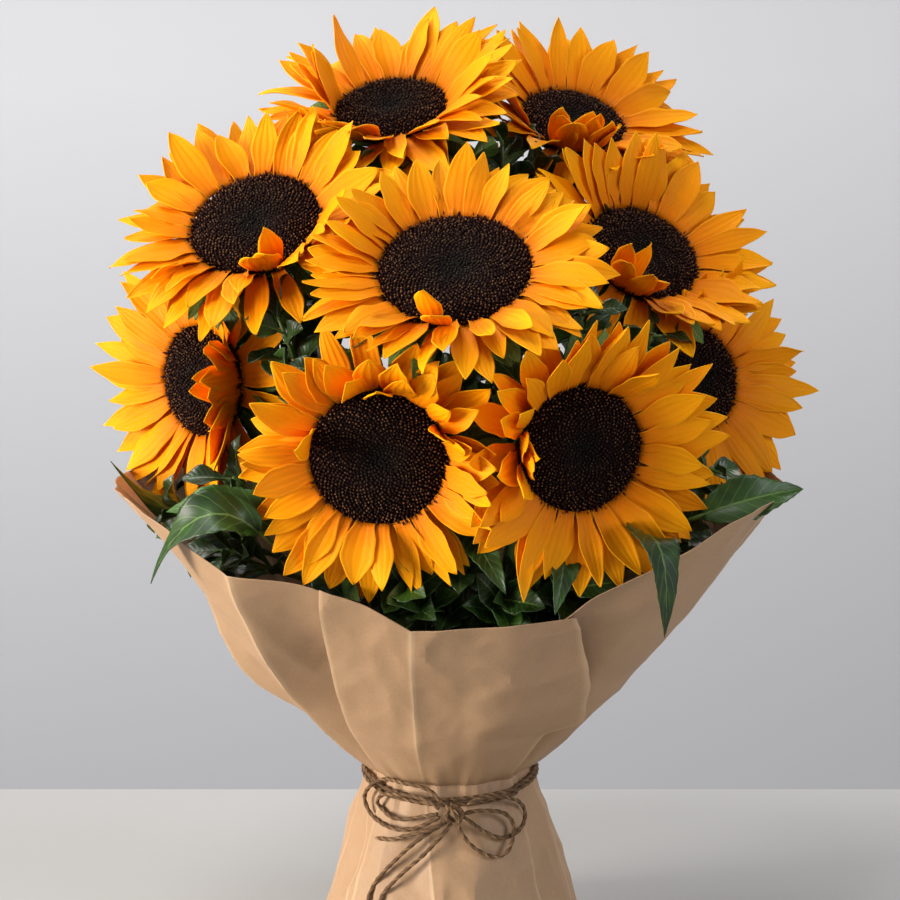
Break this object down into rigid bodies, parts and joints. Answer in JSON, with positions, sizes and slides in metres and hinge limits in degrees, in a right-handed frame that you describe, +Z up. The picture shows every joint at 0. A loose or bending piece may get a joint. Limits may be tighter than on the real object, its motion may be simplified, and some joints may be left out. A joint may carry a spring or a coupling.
{
  "type": "bunch of sunflowers",
  "caption": "Hand-tied bunch of cut sunflowers with leaves in a flared kraft-paper wrap, tied at the waist with twine; stands on its splayed, level-cut stems.",
  "frame": {"origin": "on the surface that the bunch stands on, at the cut end of the middle stem", "axes": "+Z up through the bunch, the bow and the lowest part of the rim face -Y, +X to the right as seen from the front"},
  "size_m": [0.3541, 0.3313, 0.4659],
  "materials": {
    "stem": "matt, finely hairy green stem",
    "seed_disc": "rough dark brown florets",
    "petals": "soft satin golden petals",
    "leaf": "waxy dark green leaf",
    "kraft_paper": "matt brown kraft paper",
    "twine": "rough two-ply jute twine"
  },
  "bodies": {
    "root": {"stem_01": "stem", "seed_disc_01": "seed_disc", "petal_ring_01": "petals", "stem_02": "stem", "seed_disc_02": "seed_disc", "petal_ring_02": "petals", "stem_03": "stem", "seed_disc_03": "seed_disc", "petal_ring_03": "petals", "stem_04": "stem", "seed_disc_04": "seed_disc", "petal_ring_04": "petals", "stem_05": "stem", "seed_disc_05": "seed_disc", "petal_ring_05": "petals", "stem_06": "stem", "seed_disc_06": "seed_disc", "petal_ring_06": "petals", "stem_07": "stem", "seed_disc_07": "seed_disc", "petal_ring_07": "petals", "stem_08": "stem", "seed_disc_08": "seed_disc", "petal_ring_08": "petals", "stem_09": "stem", "seed_disc_09": "seed_disc", "petal_ring_09": "petals", "stem_10": "stem", "seed_disc_10": "seed_disc", "petal_ring_10": "petals", "stem_11": "stem", "seed_disc_11": "seed_disc", "petal_ring_11": "petals", "stem_12": "stem", "seed_disc_12": "seed_disc", "petal_ring_12": "petals", "leaf_01": "leaf", "leaf_02": "leaf", "leaf_03": "leaf", "leaf_04": "leaf", "leaf_05": "leaf", "leaf_06": "leaf", "leaf_07": "leaf", "leaf_08": "leaf", "leaf_09": "leaf", "leaf_10": "leaf", "leaf_11": "leaf", "leaf_12": "leaf", "leaf_13": "leaf", "leaf_14": "leaf", "paper_wrap": "kraft_paper", "twine_band": "twine", "twine_knot": "twine", "twine_loop_left_outer": "twine", "twine_loop_left_inner": "twine", "twine_loop_right_upper": "twine", "twine_loop_right_lower": "twine", "twine_tail_long_a": "twine", "twine_tail_long_b": "twine", "twine_tail_short": "twine"}
  },
  "joints": []
}
